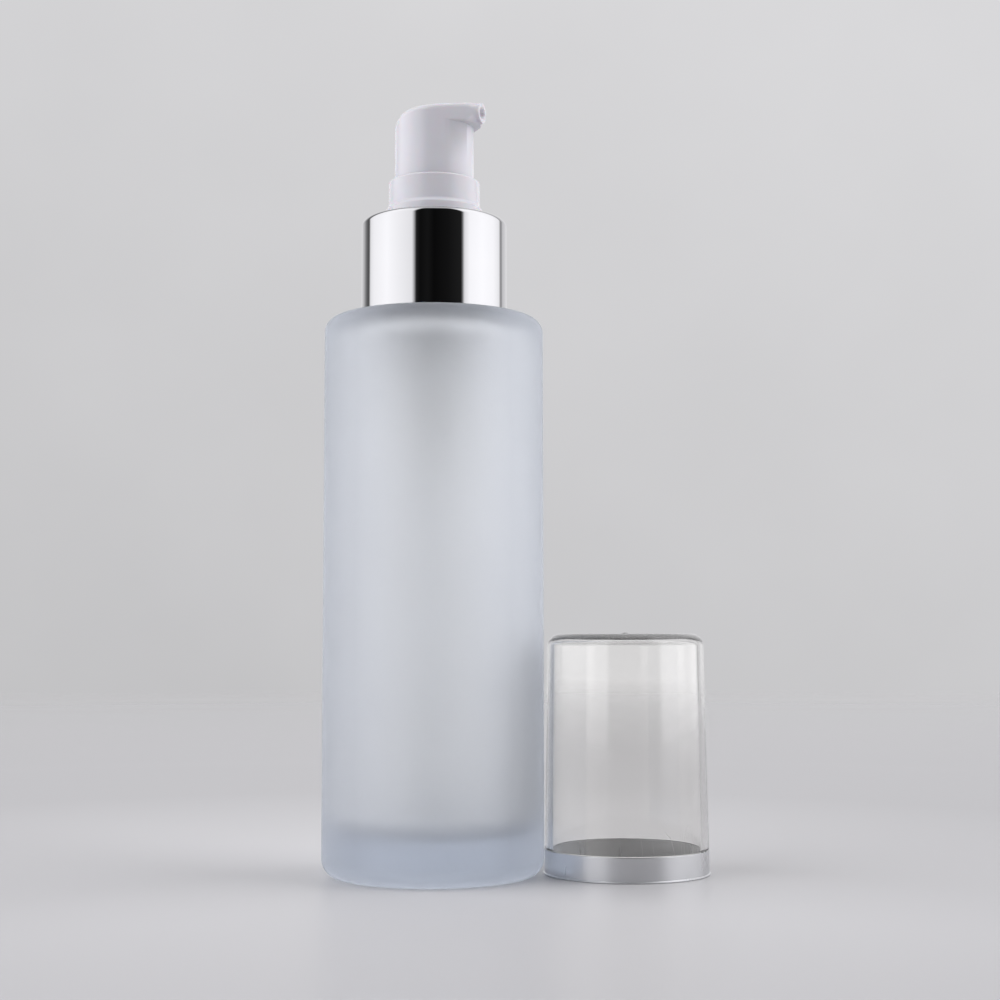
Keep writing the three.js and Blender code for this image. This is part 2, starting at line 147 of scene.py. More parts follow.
def rounded(corners, closed=True, steps=6, blunt=0.15):
    """Fillets an outline of (radius, height, fillet) corners that runs counter-clockwise.

    A corner that leaves out its fillet gets blunt. An open outline starts and ends on the axis.
    Returns (radius, height, normal) points.
    """
    points = []
    for i, (radius, height, *given) in enumerate(corners):
        fillet = given[0] if given else blunt
        here = (radius, height)
        if not closed and i in (0, len(corners) - 1):
            points.append((radius, height, (0.0, 1.0 if i else -1.0)))
            continue
        before, after = corners[i - 1], corners[(i + 1) % len(corners)]
        *into, into_length = heading(before, here)
        *out, out_length = heading(here, after)
        turn = math.atan2(into[0] * out[1] - into[1] * out[0], into[0] * out[0] + into[1] * out[1])
        start = math.atan2(-into[0], into[1])
        if abs(turn) < STRAIGHT or fillet == 0:
            points.append((radius, height, (math.cos(start), math.sin(start))))
            continue
        bend = math.tan(abs(turn) / 2)
        reach = min(fillet * bend, 0.48 * into_length, 0.48 * out_length)
        side = math.copysign(reach / bend, turn)
        centre_r = radius - into[0] * reach - into[1] * side
        centre_z = height - into[1] * reach + into[0] * side
        for k in range(steps + 1):
            angle = start + turn * k / steps
            normal = (math.cos(angle), math.sin(angle))
            points.append((centre_r + side * normal[0], centre_z + side * normal[1], normal))
    return points


def finish_mesh(name, vertices, faces, material):
    mesh = bpy.data.meshes.new(name)
    mesh.from_pydata(vertices, [], faces)
    mesh.materials.append(material)
    mesh.shade_smooth()
    mesh.update()
    piece = bpy.data.objects.new(name, mesh)
    bpy.context.scene.collection.objects.link(piece)
    return piece


def join_rings(rings, sides, closed):
    """Faces between each ring and the next. A ring of one vertex is a point on the axis."""
    faces = []
    for a in range(len(rings) if closed else len(rings) - 1):
        low, high = rings[a], rings[(a + 1) % len(rings)]
        for k in range(sides):
            n = (k + 1) % sides
            if len(low) == 1:
                faces.append((low[0], high[n], high[k]))
            elif len(high) == 1:
                faces.append((low[k], low[n], high[0]))
            else:
                faces.append((low[k], low[n], high[n], high[k]))
    return faces


def turned(name, outline, material, sides=96, closed=True, place=(0.0, 0.0), swell=None):
    """A solid of revolution with exact normals. swell(angle, height, radius) adds to its radius."""
    vertices, normals, rings, swollen = [], [], [], []
    for radius, height, normal in outline:
        ring = []
        for k in range(sides if radius > ON_AXIS else 1):
            angle = 2 * math.pi * k / sides
            extra = swell(angle, height, radius) if swell else 0.0
            if extra:
                swollen.append(len(vertices))
            ring.append(len(vertices))
            spread = radius + extra
            x = place[0] + spread * math.cos(angle)
            y = place[1] + spread * math.sin(angle)
            vertices.append((x * MM, y * MM, height * MM))
            normals.append((normal[0] * math.cos(angle), normal[0] * math.sin(angle), normal[1]))
        rings.append(ring)
    piece = finish_mesh(name, vertices, join_rings(rings, sides, closed), material)
    automatic = piece.data.vertex_normals
    for i in swollen:
        normals[i] = tuple(automatic[i].vector)
    piece.data.normals_split_custom_set_from_vertices(normals)
    return piece


def stations(radius, low, high, count):
    """Corners without fillets along an upright wall, so that a thread can swell out of it."""
    return [(radius, low + (high - low) * k / count, 0.0) for k in range(count + 1)]


def thread(angle, height, start):
    """Height from 0 to 1 of a rounded helical ridge that fades in and out at its two ends."""
    share = angle / (2 * math.pi)
    nearest = round((height - start) / THREAD_PITCH - share)
    tallest = 0.0
    for lap in (nearest - 1, nearest, nearest + 1):
        along = lap + share
        if not 0.0 <= along <= THREAD_TURNS:
            continue
        flank = min(1.0, max(0.0, (1.0 - abs(height - start - THREAD_PITCH * along)) / 0.55))
        fade = min(1.0, along / 0.12, (THREAD_TURNS - along) / 0.12)
        tallest = max(tallest, flank * flank * (3 - 2 * flank) * fade)
    return tallest


def place_piece(piece, body, node):
    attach(piece, body)
    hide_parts(node)


# ---- Materials ------------------------------------------------------------------------------

# The most that the haze, painted light at the cap's crown and behind its band, takes from the cap's
# clearness.
CAP_PAINTED_LIGHT_HAZE = 0.2


class Nodes:
    """Short names for making and joining the nodes of one tree."""

    def __init__(self, tree):
        self.tree = tree

    def node(self, kind, **values):
        made = self.tree.nodes.new(kind)
        for key, value in values.items():
            if key in made.inputs:
                made.inputs[key].default_value = value
            else:
                setattr(made, key, value)
        return made

    def link(self, source, target):
        self.tree.links.new(source, target)

    def math(self, operation, *terms):
        """One Math node. Its terms are numbers or other nodes' outputs."""
        made = self.node("ShaderNodeMath", operation=operation)
        for socket, term in zip(made.inputs, terms):
            if isinstance(term, (int, float)):
                socket.default_value = term
            else:
                self.link(term, socket)
        return made.outputs["Value"]

    def ramp(self, factor, low, high, start=0.3, end=0.7):
        """Maps factor between start and end to a number between low and high."""
        made = self.node("ShaderNodeMapRange")
        for socket, value in (("From Min", start), ("From Max", end), ("To Min", low), ("To Max", high)):
            made.inputs[socket].default_value = value
        self.link(factor, made.inputs["Value"])
        return made.outputs["Result"]

    def axes(self, vector):
        """The x, y and z of a vector, each as an output."""
        split = self.node("ShaderNodeSeparateXYZ")
        self.link(vector, split.inputs["Vector"])
        return split.outputs["X"], split.outputs["Y"], split.outputs["Z"]

    def colours(self, factor, first, second):
        """Blends two colours by a factor from 0 to 1."""
        mix = self.node("ShaderNodeMix", data_type="RGBA")
        self.link(factor, mix.inputs[0])
        mix.inputs[6].default_value = (*first, 1.0)
        mix.inputs[7].default_value = (*second, 1.0)
        return mix.outputs[2]


class Paint(Nodes):
    """A node material around one Principled shader."""

    def __init__(self, name, **sockets):
        self.material = bpy.data.materials.new(name)
        self.material.use_nodes = True
        super().__init__(self.material.node_tree)
        self.shader = self.tree.nodes["Principled BSDF"]
        for socket, value in sockets.items():
            self.set(socket.replace("_", " "), value)

    def set(self, socket, value):
        self.shader.inputs[socket].default_value = value

    def drive(self, socket, output):
        self.link(output, self.shader.inputs[socket])

    def coordinates(self, scale=(1.0, 1.0, 1.0)):
        place = self.node("ShaderNodeTexCoord")
        mapping = self.node("ShaderNodeMapping", Scale=scale)
        self.link(place.outputs["Object"], mapping.inputs["Vector"])
        return mapping.outputs["Vector"]

    def noise(self, scale, detail=3.0, rough=0.5, stretch_by=(1.0, 1.0, 1.0)):
        made = self.node("ShaderNodeTexNoise", Scale=scale, Detail=detail, Roughness=rough)
        self.link(self.coordinates(stretch_by), made.inputs["Vector"])
        return made.outputs["Fac"]

    def tint(self, factor, first, second, start=0.3, end=0.7):
        """Blends two base colours by factor."""
        self.drive("Base Color", self.colours(self.ramp(factor, 0.0, 1.0, start, end), first, second))

    def bump(self, height, distance, strength=1.0):
        made = self.node("ShaderNodeBump", Strength=strength, Distance=distance)
        self.link(height, made.inputs["Height"])
        self.drive("Normal", made.outputs["Normal"])

    def absorb(self, colour, density):
        """Fills the solid with a clear stain."""
        made = self.node("ShaderNodeVolumeAbsorption", Color=(*colour, 1.0), Density=density)
        self.link(made.outputs["Volume"], self.tree.nodes["Material Output"].inputs["Volume"])

    def pass_light(self, share):
        """Lets this share of the direct light through, so that what is behind the glass is lit."""
        rays = self.node("ShaderNodeLightPath")
        clear = self.node("ShaderNodeBsdfTransparent", Color=(share, share, share, 1.0))
        mix = self.node("ShaderNodeMixShader")
        self.link(rays.outputs["Is Shadow Ray"], mix.inputs[0])
        self.link(self.shader.outputs[0], mix.inputs[1])
        self.link(clear.outputs[0], mix.inputs[2])
        self.link(mix.outputs[0], self.tree.nodes["Material Output"].inputs["Surface"])


def cavity_mask(paint):
    """1 on the wall of the bottle's cavity and neck bore, 0 on its etched outside."""
    x, y, z = paint.axes(paint.coordinates((1 / MM,) * 3))
    square = paint.math("ADD", paint.math("POWER", x, 2.0), paint.math("POWER", y, 2.0))
    radius = paint.math("SQRT", square)
    room = paint.math("LESS_THAN", radius, BOTTLE_RADIUS - GLASS_WALL / 2)
    room = paint.math("MULTIPLY", room, paint.math("GREATER_THAN", z, GLASS_BASE / 2))
    room = paint.math("MULTIPLY", room, paint.math("LESS_THAN", z, SHOULDER - GLASS_WALL / 2))
    bore = paint.math("LESS_THAN", radius, (NECK_BORE + NECK_RADIUS) / 2)
    bore = paint.math("MULTIPLY", bore, paint.math("GREATER_THAN", z, SHOULDER - GLASS_WALL))
    return paint.math("MAXIMUM", room, bore)


def bottle_glass():
    """Faintly blue glass, acid-etched outside and less rough inside, and deeper in colour where it
    is seen edge on, partly for the stain's longer path there and partly as painted shade that darkens
    the bottle's left and right edges. One material covers both sides, so that a ray that enters
    through one and leaves through the other leaves the stain as well."""
    paint = Paint("frosted_glass", Transmission_Weight=1.0, IOR=1.5)
    edge_on = paint.node("ShaderNodeLayerWeight", Blend=0.5).outputs["Facing"]
    uneven = paint.ramp(paint.noise(60.0, 4.0), -0.02, 0.02)
    edge_stain_and_shade = paint.math("ADD", edge_on, uneven)
    # Painted shade together with the stain: darker where the glass is seen edge on, at the bottle's edges.
    paint.tint(edge_stain_and_shade, (0.925, 0.932, 0.937), (0.745, 0.757, 0.775), 0.05, 0.30)
    etched = paint.ramp(paint.noise(180.0), 0.80, 0.88)
    moulded = paint.ramp(paint.noise(25.0), 0.48, 0.56)
    inside = cavity_mask(paint)
    outside = paint.math("SUBTRACT", 1.0, inside)
    moulded_share = paint.math("MULTIPLY", moulded, inside)
    paint.drive("Roughness", paint.math("MULTIPLY_ADD", etched, outside, moulded_share))
    paint.bump(paint.noise(2600.0, 2.0), 0.000012)
    paint.absorb((0.01, 0.25, 0.62), 9.0)
    paint.pass_light(0.6)
    return paint.material


def chrome():
    """Bright plating on drawn metal, with very faint haze and drawing marks."""
    paint = Paint("collar_chrome", Metallic=1.0)
    paint.tint(paint.noise(50.0), (0.61, 0.61, 0.625), (0.63, 0.63, 0.64))
    haze = paint.noise(90.0, 5.0, 0.6, (1.0, 1.0, 0.25))
    paint.drive("Roughness", paint.ramp(haze, 0.015, 0.05))
    return paint.material


def moulded_plastic(name, first, second, rough, ripple, clarity=0.0):
    """Injection-moulded plastic: slight colour drift, uneven gloss and a little flow ripple."""
    paint = Paint(name, IOR=1.49, Transmission_Weight=clarity)
    paint.tint(paint.noise(110.0), first, second)
    paint.drive("Roughness", paint.ramp(paint.noise(300.0, 4.0), *rough))
    paint.bump(paint.noise(260.0, 2.0), ripple)
    return paint


def white_plastic():
    darker, lighter = (0.72, 0.712, 0.76), (0.75, 0.742, 0.79)
    paint = moulded_plastic("white_plastic", darker, lighter, (0.16, 0.24), 0.00001)
    paint.set("Subsurface Weight", 0.15)
    paint.set("Subsurface Scale", 0.0012)
    return paint.material


def cap_painted_light_haze(paint):
    """Above 0 where the cap's plastic is made milky as painted light: at the crown and behind the band,
    which would otherwise look dark.
    """
    height = paint.axes(paint.coordinates())[2]
    crown = paint.ramp(height, 0.0, 1.0, (shell_high.z - 1.3) * MM, (shell_high.z - 0.6) * MM)
    rim = paint.ramp(height, 1.0, 0.0, (band_high.z - 0.3) * MM, band_high.z * MM)
    return paint.math("MAXIMUM", crown, rim)


def clear_plastic():
    """Polished cap plastic with a smoky stain and a few hairline scratches in its worn places."""
    paint = Paint("clear_plastic", IOR=1.55)
    wear = paint.noise(34.0, 2.0)
    scratches = paint.node("ShaderNodeTexWave", Scale=55.0, Distortion=38.0, Detail=2.0)
    paint.link(paint.coordinates((1.0, 1.3, 0.5)), scratches.inputs["Vector"])
    hairline = paint.ramp(scratches.outputs["Fac"], 0.0, 1.0, 0.999, 1.0)
    worn = paint.ramp(wear, 0.0, 1.0, 0.66, 0.76)
    marks = paint.math("MULTIPLY", hairline, worn)
    paint.drive("Roughness", paint.math("ADD", paint.math("MULTIPLY", marks, 0.35), 0.012))
    paint.drive("Base Color", paint.colours(marks, (0.965, 0.962, 0.955), (0.78, 0.77, 0.76)))
    # Painted light: milky haze that lightens the crown and the plastic behind the band.
    paint.drive("Transmission Weight", paint.math("MULTIPLY_ADD", cap_painted_light_haze(paint), -CAP_PAINTED_LIGHT_HAZE, 1.0))
    paint.absorb((0.52, 0.50, 0.40), 18.0)
    paint.pass_light(0.66)
    return paint.material


def silver_band():
    paint = Paint("silver_band", Metallic=1.0)
    paint.tint(paint.noise(70.0), (0.66, 0.67, 0.69), (0.71, 0.715, 0.73))
    haze = paint.noise(150.0, 4.0, 0.6, (1.0, 1.0, 0.2))
    paint.drive("Roughness", paint.ramp(haze, 0.26, 0.34))
    return paint.material


def steel():
    paint = Paint("spring_steel", Metallic=1.0)
    paint.tint(paint.noise(400.0), (0.50, 0.51, 0.53), (0.60, 0.61, 0.62))
    paint.drive("Roughness", paint.ramp(paint.noise(900.0), 0.22, 0.36))
    return paint.material


def foam():
    paint = Paint("gasket_foam", Roughness=0.9)
    cells = paint.noise(2500.0, 2.0)
    paint.tint(cells, (0.70, 0.69, 0.65), (0.82, 0.81, 0.77))
    paint.bump(cells, 0.00005)
    return paint.material


FROSTED = bottle_glass()
CHROME = chrome()
WHITE = white_plastic()
NATURAL = moulded_plastic(
    "natural_plastic", (0.86, 0.86, 0.85), (0.91, 0.91, 0.90), (0.40, 0.52), 0.00002, clarity=0.6).material
TUBE = moulded_plastic(
    "tube_plastic", (0.92, 0.93, 0.94), (0.95, 0.96, 0.96), (0.32, 0.42), 0.00002, clarity=0.85).material
CLEAR = clear_plastic()
SILVER = silver_band()
STEEL = steel()
FOAM = foam()


# ---- The bottle and its collar --------------------------------------------------------------

def make_bottle():
    inner = BOTTLE_RADIUS - GLASS_WALL
    ceiling = SHOULDER - GLASS_WALL
    outline = rounded([
        (0.0, 0.0, 0.0),
        (BOTTLE_RADIUS, 0.0, HEEL_ROUND),
        (BOTTLE_RADIUS, SHOULDER, SHOULDER_ROUND),
        (NECK_RADIUS, SHOULDER, 0.8),
        *stations(NECK_RADIUS, THREAD_START - 2.2, NECK_TOP - 2.1, 44),
        (NECK_RADIUS, NECK_TOP, 0.45),
        (NECK_BORE, NECK_TOP, 0.4),
        (NECK_BORE, ceiling, 3.2),
        (inner, ceiling, CAVITY_ROUND),
        (inner, GLASS_BASE, CAVITY_ROUND),
        (0.0, GLASS_BASE - 0.5, 0.0),
    ], closed=False, steps=12)

    def ridge(angle, height, radius):
        on_neck = abs(radius - NECK_RADIUS) < 1e-6 and height < NECK_TOP - 1
        return THREAD_HEIGHT * thread(angle, height, THREAD_START) if on_neck else 0.0

    bottle = turned("bottle_glass", outline, FROSTED, 192, closed=False, swell=ridge)
    place_piece(bottle, "bottle", "glass_bottle")


def make_collar():
    inside = COLLAR_RADIUS - COLLAR_SHEET
    hole = 9.0
    top = collar_high.z
    outline = rounded([
        (inside, collar_low.z, 0.2),
        (COLLAR_RADIUS, collar_low.z, 0.25),
        (COLLAR_RADIUS, top, 1.1),
        (hole, top, 0.2),
        (hole, top - COLLAR_SHEET, 0.2),
        (inside, top - COLLAR_SHEET, 0.6),
    ], steps=8)
    collar = turned("collar_cover", outline, CHROME, 160)
    place_piece(collar, "collar", "collar_shell")


def make_closure():
    start = THREAD_START - THREAD_PITCH / 2
    ceiling = FLANGE_TOP + 0.05
    outline = rounded([
        (CLOSURE_BORE, closure_low.z),
        (CLOSURE_RADIUS, closure_low.z),
        (CLOSURE_RADIUS, closure_high.z, 0.9),
        (CLOSURE_HOLE, closure_high.z),
        (CLOSURE_HOLE, ceiling),
        (CLOSURE_BORE, ceiling),
        *stations(CLOSURE_BORE, start + THREAD_PITCH * THREAD_TURNS + 1.6, start - 1.6, 40),
    ])

    def ridge(angle, height, radius):
        return -0.85 * thread(angle, height, start) if abs(radius - CLOSURE_BORE) < 1e-6 else 0.0

    closure = turned("screw_closure", outline, WHITE, 128, swell=ridge)
    place_piece(closure, "collar", "inner_closure")


# ---- The pump -------------------------------------------------------------------------------

def make_gasket():
    inside, outside = NECK_BORE + 0.1, 11.2
    outline = rounded([
        (inside, gasket_low.z), (outside, gasket_low.z), (outside, gasket_high.z), (inside, gasket_high.z),
    ])
    place_piece(turned("foam_washer", outline, FOAM), "pump", "neck_gasket")


def make_housing():
    ball_room = BALL_RADIUS + 0.55
    inlet = BALL_RADIUS - 0.55
    socket = TUBE_RADIUS + 0.1
    step = retainer_low.z - 0.1
    outline = rounded([
        (socket, housing_low.z),
        (socket + 0.9, housing_low.z),
        (socket + 0.9, SOCKET_TOP, 0.5),
        (HOUSING_RADIUS, BALL_SEAT + 3.6, 0.6),
        (HOUSING_RADIUS, CYLINDER_TOP - 0.9, 0.6),
        (HOUSING_CUP + 0.7, CYLINDER_TOP + 1.2, 0.6),
        (HOUSING_CUP + 0.7, FLANGE_BOTTOM),
        (11.2, FLANGE_BOTTOM),
        (11.2, FLANGE_TOP),
        (HOUSING_CUP + 1, FLANGE_TOP),
        (HOUSING_CUP + 1, housing_high.z),
        (HOUSING_CUP, housing_high.z),
        (HOUSING_CUP, CYLINDER_TOP + 2, 0.5),
        (HOUSING_BORE, CYLINDER_TOP, 0.5),
        (HOUSING_BORE, step),
        (ball_room, step),
        (ball_room, BALL_SEAT + 1.1),
        (inlet, BALL_SEAT),
        (inlet, SOCKET_TOP),
        (socket, SOCKET_TOP),
    ])
    place_piece(turned("pump_cylinder", outline, NATURAL), "pump", "pump_housing")


def make_guide():
    """The white stepped ring over the collar, with the tube inside it that guides the stem."""
    wall = 8.8
    flange = wall + 0.55
    seat = collar_high.z + 0.05
    guide = STEM_RADIUS + 0.15
    guide_outside = HOUSING_BORE - 0.3
    skirt = HOUSING_CUP - 0.1
    skirt_foot = CYLINDER_TOP + 3.1
    plate = housing_high.z + 0.1
    floor = collar_high.z + 0.3
    outline = rounded([
        (guide, guide_low.z),
        (guide_outside, guide_low.z),
        (guide_outside, plate),
        (skirt - 1, plate),
        (skirt - 1, skirt_foot),
        (skirt, skirt_foot),
        (skirt, plate),
        (CLOSURE_HOLE - 0.3, plate),
        (CLOSURE_HOLE - 0.3, seat),
        (flange, seat, 0.2),
        (flange - 0.05, seat + 2.15, 0.25),
        (wall, seat + 2.75, 0.7),
        (wall, guide_high.z, 0.45),
        (7.9, guide_high.z, 0.3),
        (7.9, floor, 0.4),
        (guide, floor, 0.3),
    ])
    ring = turned("guide_collar", outline, WHITE, 128)
    place_piece(ring, "pump", "guide_ring")


def make_stem():
    outline = rounded([
        (STEM_BORE, stem_low.z),
        (STEM_RADIUS, stem_low.z),
        (STEM_RADIUS, stem_high.z, 0.4),
        (STEM_BORE, stem_high.z),
    ])
    place_piece(turned("hollow_stem", outline, WHITE, 64), "stem", "stem")


def make_plunger():
    seat = plunger_low.z + 1.5
    neck = piston_low.z - 0.2
    pin = STEM_BORE - 0.1
    spigot = SPRING_RADIUS - SPRING_WIRE - 0.3
    outline = rounded([
        (0.0, plunger_low.z, 0.0),
        (spigot - 0.4, plunger_low.z, 0.5),
        (spigot, seat),
        (3.5, seat),
        (3.5, seat + 0.9),
        (1.7, neck),
        (pin, neck),
        (pin, plunger_high.z, 0.4),
        (0.0, plunger_high.z, 0.0),
    ], closed=False)
    foot = turned("plunger_foot", outline, NATURAL, 64, closed=False)
    place_piece(foot, "stem", "plunger")


def make_piston():
    low, high = piston_low.z, piston_high.z
    radius = piston_high.x
    waist = radius - 0.5
    bore = STEM_RADIUS + 0.12
    throat = 1.9
    outline = rounded([
        (throat, low),
        (waist, low + 0.4),
        (radius, low, 0.08),
        (radius, low + 0.8, 0.3),
        (waist, low + 1.6, 0.4),
        (waist, high - 1.6, 0.4),
        (radius, high - 0.8, 0.3),
        (radius, high, 0.08),
        (waist, high - 0.4),
        (bore, high - 0.4),
        (bore, low + 0.7),
        (throat, low + 0.7),
    ])
    place_piece(turned("piston_seal", outline, NATURAL, 64), "piston", "piston")


def make_retainer():
    plate = retainer_low.z + 1
    hole = 1.1
    spigot = SPRING_RADIUS - SPRING_WIRE - 0.4
    outline = rounded([
        (hole, retainer_low.z),
        (HOUSING_BORE - 0.1, retainer_low.z),
        (HOUSING_BORE - 0.1, plate),
        (spigot, plate),
        (spigot, retainer_high.z, 0.5),
        (hole, retainer_high.z),
    ])
    ring = turned("ball_cage", outline, NATURAL, 64)
    place_piece(ring, "pump", "ball_retainer")


def make_ball():
    centre = (ball_low.z + ball_high.z) / 2
    outline = []
    for k in range(33):
        angle = math.pi * (k / 32 - 0.5)
        normal = (max(0.0, math.cos(angle)), math.sin(angle))
        outline.append((BALL_RADIUS * normal[0], centre + BALL_RADIUS * normal[1], normal))
    ball = turned("inlet_ball", outline, STEEL, 48, closed=False)
    place_piece(ball, "ball", "check_ball")


def make_spring():
    """A wire coil whose end turns lie nearly flat. It shortens by the head's press."""
    steps, sides = 44 * SPRING_TURNS, 12
    bottom = spring_low.z + SPRING_WIRE
    climb = spring_high.z - spring_low.z - 2 * SPRING_WIRE
    vertices, faces = [], []
    for i in range(steps + 1):
        t = i / steps
        eased = t * t * t * (t * (6 * t - 15) + 10)
        height = bottom + climb * (0.35 * eased + 0.65 * t)
        turn = 2 * math.pi * SPRING_TURNS * t
        for k in range(sides):
            around = 2 * math.pi * k / sides
            radius = SPRING_RADIUS + SPRING_WIRE * math.cos(around)
            rise = height + SPRING_WIRE * math.sin(around)
            vertices.append((radius * math.cos(turn) * MM, radius * math.sin(turn) * MM, rise * MM))
    for i in range(steps):
        for k in range(sides):
            n = (k + 1) % sides
            a, b = i * sides, (i + 1) * sides
            faces.append((a + k, b + k, b + n, a + n))
    faces.append(tuple(range(sides)))
    faces.append(tuple(range(len(vertices) - 1, len(vertices) - 1 - sides, -1)))
    spring = finish_mesh("wire_spring", vertices, faces, STEEL)
    place_piece(spring, "pump", "return_spring")
    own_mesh(spring)


def make_dip_tube():
    """Its lower end is cut on a slant."""
    outline = rounded([
        (TUBE_BORE, tube_low.z, 0.05),
        (TUBE_RADIUS, tube_low.z, 0.05),
        (TUBE_RADIUS, tube_high.z),
        (TUBE_BORE, tube_high.z),
    ])
    tube = turned("dip_straw", outline, TUBE, 48)
    for vertex in tube.data.vertices:
        if vertex.co.z < (tube_low.z + 1) * MM:
            vertex.co.z += (TUBE_RADIUS * MM - vertex.co.x) * math.tan(math.radians(35))
    place_piece(tube, "pump", "dip_tube")


# ---- The push-down head ---------------------------------------------------------------------

def ease(value, start, end):
    """0 before start, 1 after end, and smooth between them."""
    share = min(1.0, max(0.0, (value - start) / (end - start)))
    return share * share * (3 - 2 * share)


class HeadShape:
    """The head's surface: a teardrop plan from the skirt's circle to the spout, with a crowned top
    that climbs gently to the spout and falls away behind, and edges that round into a tube with a
    lip at the tip. u runs along the spout, v across it, in millimetres from the stem's axis."""

    tip_half = 1.8
    fall_start = 1.4
    fall_reach = 9.55
    fall_drop = 4.9
    climb = 0.075
    crown = 0.45
    edge = 1.2
    under_edge = 0.4

    def __init__(self):
        self.top = head_high.z - 0.7
        self.corner = math.atan2(self.tip_half, SPOUT_REACH)
        self.tangent = self.corner + math.acos(HEAD_RADIUS / math.hypot(self.tip_half, SPOUT_REACH))

    def inside(self, u, v):
        """Distance in from the plan's sides. The flat end of the spout doesn't count."""
        if math.atan2(abs(v), u) > self.tangent:
            return HEAD_RADIUS - math.hypot(u, v)
        return HEAD_RADIUS - (u * math.cos(self.tangent) + abs(v) * math.sin(self.tangent))

    def rim(self, angle, inset=0.0):
        """Radius of the plan's edge at this angle, with the sides moved in by inset."""
        angle = abs(math.atan2(math.sin(angle), math.cos(angle)))
        reach = HEAD_RADIUS - inset
        if angle < self.tangent:
            reach /= math.cos(angle - self.tangent)
            if angle < math.pi / 2:
                reach = min(reach, SPOUT_REACH / math.cos(angle))
        return reach

    def lip(self, u):
        return 0.12 * ease(u, SPOUT_REACH - 0.75, SPOUT_REACH - 0.35)

    def tube(self, u):
        """How far the section has become a round tube."""
        return ease(u, 8.3, SPOUT_REACH - 0.6)

    def ridge(self, u):
        """Height of the top on the middle line."""
        if u >= self.fall_start:
            return self.top + self.climb * (u - self.fall_start) + self.lip(u)
        share = min(1.0, (self.fall_start - u) / self.fall_reach)
        return self.top - self.fall_drop * (1 - math.sqrt(1 - share * share))

    def floor(self, u):
        """Height of the underside of the beak on the middle line."""
        return self.top - 3.55 + 0.07 * (u - 5.0) - 1.6 * self.lip(u)

    def half(self, u):
        return (self.ridge(max(u, self.fall_start)) - self.floor(u)) / 2

    def drop(self, radius, inside):
        """How far a round edge of this radius lies below its crest, this far in from the side."""
        gap = max(0.0, radius - max(0.0, inside))
        return radius - math.sqrt(max(0.0, radius * radius - gap * gap))

    def upper(self, u, v):
        share = self.tube(u)
        edge = self.edge + (self.half(u) - self.edge) * share
        crown = self.crown * (1 - share) * (v / HEAD_RADIUS) ** 2
        return self.ridge(u) - crown - self.drop(edge, self.inside(u, v))

    def lower(self, u, v):
        edge = self.under_edge + (self.half(u) - self.under_edge) * self.tube(u)
        return self.floor(u) + self.drop(edge, self.inside(u, v))


def head_outside(shape, angles):
    """Rows of (radius, height), one for each angle: over the top, round the edge and back in along
    the underside of the beak to the skirt's wall."""
    def row(radius_at, height_at):
        made = []
        for angle in angles:
            radius = radius_at(angle)
            made.append((radius, height_at(radius * math.cos(angle), radius * math.sin(angle))))
        return made

    rows = []
    for share in np.linspace(0.05, 0.80, 16):
        rows.append(row(lambda angle: shape.rim(angle) * share, shape.upper))
    for k in range(15):
        inset = (shape.edge + 0.25) * (1 - math.sin(math.pi / 2 * k / 14))
        rows.append(row(lambda angle: shape.rim(angle, inset), shape.upper))
    under = []
    count = 16
    for k in range(count + 1):
        inset = 2.0 * (1 - math.cos(math.pi / 2 * k / count))
        under.append(row(lambda angle: max(HEAD_RADIUS, shape.rim(angle, inset)), shape.lower))
    under.append(row(lambda angle: HEAD_RADIUS, shape.lower))
    for column in range(len(angles)):
        start = rows[-1][column][1]
        end = min(under[-1][column][1], start - 0.6)
        beak = under[0][column][0] > HEAD_RADIUS + 1e-6
        for k, made in enumerate(under):
            radius, height = made[column]
            if not beak:
                height = start + (end - start) * (k + 1) / len(under)
            made[column] = (radius, min(height, start))
    return rows + under


def head_inside():
    """(radius, height) rings from the skirt's foot, up into the hollow and down round the boss that
    grips the stem."""
    foot = head_low.z
    inner = HEAD_RADIUS - 1.0
    ceiling = stem_high.z - 1.2
    boss, boss_foot = 3.7, foot + 1.8
    grip = STEM_RADIUS + 0.1
    socket_end = stem_high.z + 0.4
    return [
        (HEAD_RADIUS, foot + 4.0), (HEAD_RADIUS, foot + 0.35), (HEAD_RADIUS - 0.1, foot + 0.1),
        (HEAD_RADIUS - 0.3, foot), (inner + 0.2, foot), (inner, foot + 0.2), (inner, ceiling - 0.4),
        (inner - 0.5, ceiling), (boss + 0.4, ceiling + 0.8), (boss, ceiling + 0.4),
        (boss, boss_foot + 0.2), (boss - 0.2, boss_foot), (grip + 0.2, boss_foot),
        (grip, boss_foot + 0.2), (grip, socket_end),
    ]


def make_head():
    shape = HeadShape()
    tip = np.linspace(-shape.corner, shape.corner, 25)[:-1]
    rest = np.linspace(shape.corner, 2 * math.pi - shape.corner, 168, endpoint=False)
    angles = [float(angle) for angle in (*tip, *rest)]
    rows = head_outside(shape, angles)
    rows += [[ring] * len(angles) for ring in head_inside()]
    vertices = [(0.0, 0.0, shape.upper(0.0, 0.0) * MM)]
    for row in rows:
        for (radius, height), angle in zip(row, angles):
            vertices.append((radius * math.cos(angle) * MM, radius * math.sin(angle) * MM, height * MM))
    last = len(vertices)
    vertices.append((0.0, 0.0, rows[-1][0][1] * MM))
    count = len(angles)
    end = 1 + (len(rows) - 1) * count
    faces = []
    for k in range(count):
        n = (k + 1) % count
        faces.append((0, 1 + k, 1 + n))
        for a in range(1, end, count):
            b = a + count
            faces.append((a + k, b + k, b + n, a + n))
        faces.append((end + n, end + k, last))
    head = finish_mesh("press_head", vertices, faces, WHITE)
    weld_seams(head)
    bore_outlet(head, shape)
    head.data.set_sharp_from_angle(angle=math.radians(40))
    head.rotation_euler.z = HEAD_TURN
    place_piece(head, "head", "actuator")


